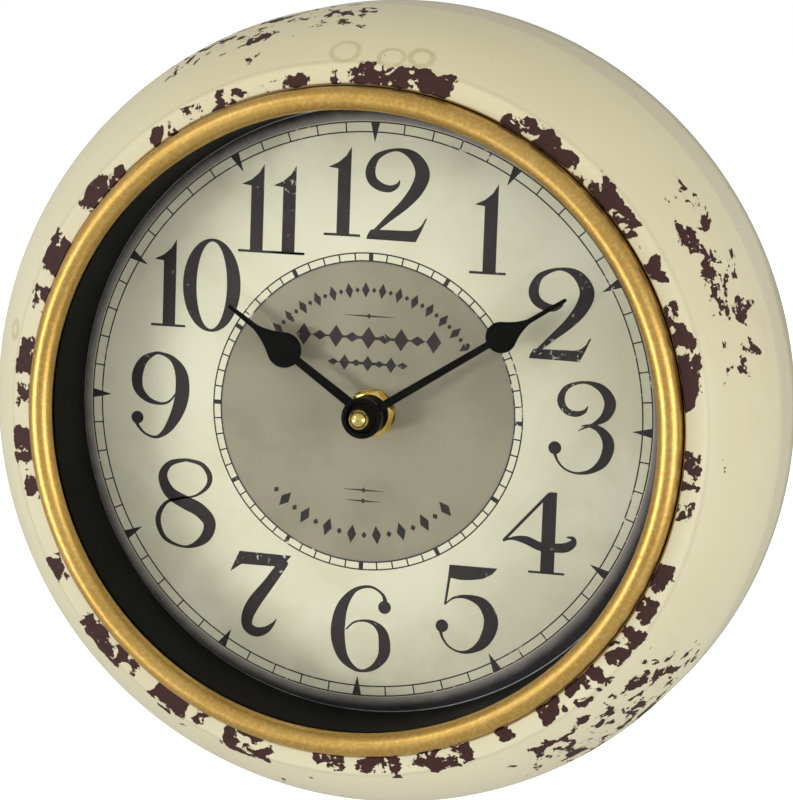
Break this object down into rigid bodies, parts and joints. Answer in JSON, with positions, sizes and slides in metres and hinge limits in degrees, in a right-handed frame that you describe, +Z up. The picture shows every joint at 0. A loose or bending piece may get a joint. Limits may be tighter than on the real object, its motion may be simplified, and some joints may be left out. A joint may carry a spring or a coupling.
{
  "type": "wall clock",
  "caption": "Round retro wall clock with a chipped enamel steel case, gold-coloured bezel, printed paper dial, black teardrop hands and a battery quartz movement.",
  "frame": {"origin": "on the wall plane, where the hand shaft's axis meets it, at the centre of the rear rim", "axes": "+Z up, the dial faces -Y and +Y points into the wall, +X to the right seen from the room"},
  "size_m": [0.2388, 0.0639, 0.2388],
  "materials": {
    "cream_enamel": "distressed satin enamel, chipped to dark red-brown",
    "gold_metal": "satin gold lacquer, lightly rubbed",
    "clear_glass": "clear, polished",
    "black_rubber": "matt",
    "black_enamel": "gloss black",
    "zinc_steel": "zinc plated",
    "dial_paper": "printed and aged",
    "screw_steel": "nickel plated",
    "fibreboard": "pressed hardboard",
    "movement_plastic": "moulded, fine spark texture",
    "white_plastic": "moulded acetal",
    "polished_brass": "polished",
    "black_gloss": "gloss black lacquer",
    "knob_plastic": "moulded",
    "magnet": "sintered magnet",
    "copper_wire": "enamelled copper wire",
    "board": "solder mask",
    "bright_steel": "nickel plated",
    "epoxy": "resin",
    "cell_label": "shrink sleeve"
  },
  "bodies": {
    "case": {"back_plate": "fibreboard", "back_screws": "screw_steel", "bezel_ring": "gold_metal", "brass_washer": "polished_brass", "case_shell": "cream_enamel", "centre_bush": "polished_brass", "circuit_board": "board", "coil_bobbin": "white_plastic", "coil_core": "zinc_steel", "coil_winding": "copper_wire", "contact_negative": "bright_steel", "contact_positive": "bright_steel", "control_chip": "epoxy", "dial_nut": "polished_brass", "dial_paper": "dial_paper", "dial_plate": "zinc_steel", "dial_posts": "zinc_steel", "dial_screws": "screw_steel", "hanger_plate": "zinc_steel", "hanger_rivets": "screw_steel", "lens_gasket": "black_rubber", "lens_glass": "clear_glass", "mid_plate": "white_plastic", "movement_case": "movement_plastic", "movement_front": "movement_plastic", "post_screws": "screw_steel", "quartz_crystal": "bright_steel", "reveal_ring": "black_enamel", "rubber_washer": "black_rubber", "stator_plate": "zinc_steel"},
    "minute": {"minute_arbor": "polished_brass", "minute_hand": "black_gloss", "hand_bushing": "black_gloss", "cap_nut": "polished_brass"},
    "hour": {"hour_wheel": "white_plastic", "hour_hand": "black_gloss"},
    "motion": {"motion_wheel": "white_plastic"},
    "knob": {"setting_knob": "knob_plastic"},
    "seconds": {"second_wheel": "white_plastic"},
    "third": {"third_wheel": "white_plastic"},
    "centre": {"centre_wheel": "white_plastic"},
    "intermediate": {"intermediate_wheel": "white_plastic"},
    "motor": {"rotor": "magnet"},
    "battery": {"battery_cell": "bright_steel", "battery_sleeve": "cell_label"}
  },
  "joints": [
    {"name": "minute_spin", "type": "hinge", "parent": "case", "child": "minute", "pos_m": [0, -0.022, 0], "axis": [0, 1, 0], "continuous": true},
    {"name": "hour_spin", "type": "hinge", "parent": "case", "child": "hour", "pos_m": [0, -0.022, 0], "axis": [0, 1, 0], "continuous": true},
    {"name": "motion_spin", "type": "hinge", "parent": "case", "child": "motion", "pos_m": [-0.00902, -0.022, 0.00328], "axis": [0, 1, 0], "continuous": true},
    {"name": "knob_spin", "type": "hinge", "parent": "case", "child": "knob", "pos_m": [-0.01733, -0.022, 0.00808], "axis": [0, 1, 0], "continuous": true},
    {"name": "second_spin", "type": "hinge", "parent": "case", "child": "seconds", "pos_m": [0.00131, -0.022, 0.00879], "axis": [0, 1, 0], "continuous": true},
    {"name": "third_spin", "type": "hinge", "parent": "case", "child": "third", "pos_m": [0.01015, -0.022, 0.00369], "axis": [0, 1, 0], "continuous": true},
    {"name": "centre_spin", "type": "hinge", "parent": "case", "child": "centre", "pos_m": [0, -0.022, 0], "axis": [0, 1, 0], "continuous": true},
    {"name": "intermediate_spin", "type": "hinge", "parent": "case", "child": "intermediate", "pos_m": [-0.00545, -0.022, 0.01061], "axis": [0, 1, 0], "continuous": true},
    {"name": "rotor_spin", "type": "hinge", "parent": "case", "child": "motor", "pos_m": [-0.0093, -0.022, 0.0152], "axis": [0, 1, 0], "continuous": true},
    {"name": "battery_slide", "type": "slide", "parent": "case", "child": "battery", "axis": [0, 1, 0], "range_m": [0, 0.02]}
  ],
  "couplings": [
    {"joint": "hour_spin", "follows": "minute_spin", "ratio": 0.083333},
    {"joint": "motion_spin", "follows": "minute_spin", "ratio": -0.33333},
    {"joint": "knob_spin", "follows": "minute_spin", "ratio": 1},
    {"joint": "third_spin", "follows": "second_spin", "ratio": -0.13333},
    {"joint": "centre_spin", "follows": "second_spin", "ratio": 0.016667},
    {"joint": "intermediate_spin", "follows": "second_spin", "ratio": -6},
    {"joint": "rotor_spin", "follows": "second_spin", "ratio": 30}
  ]
}
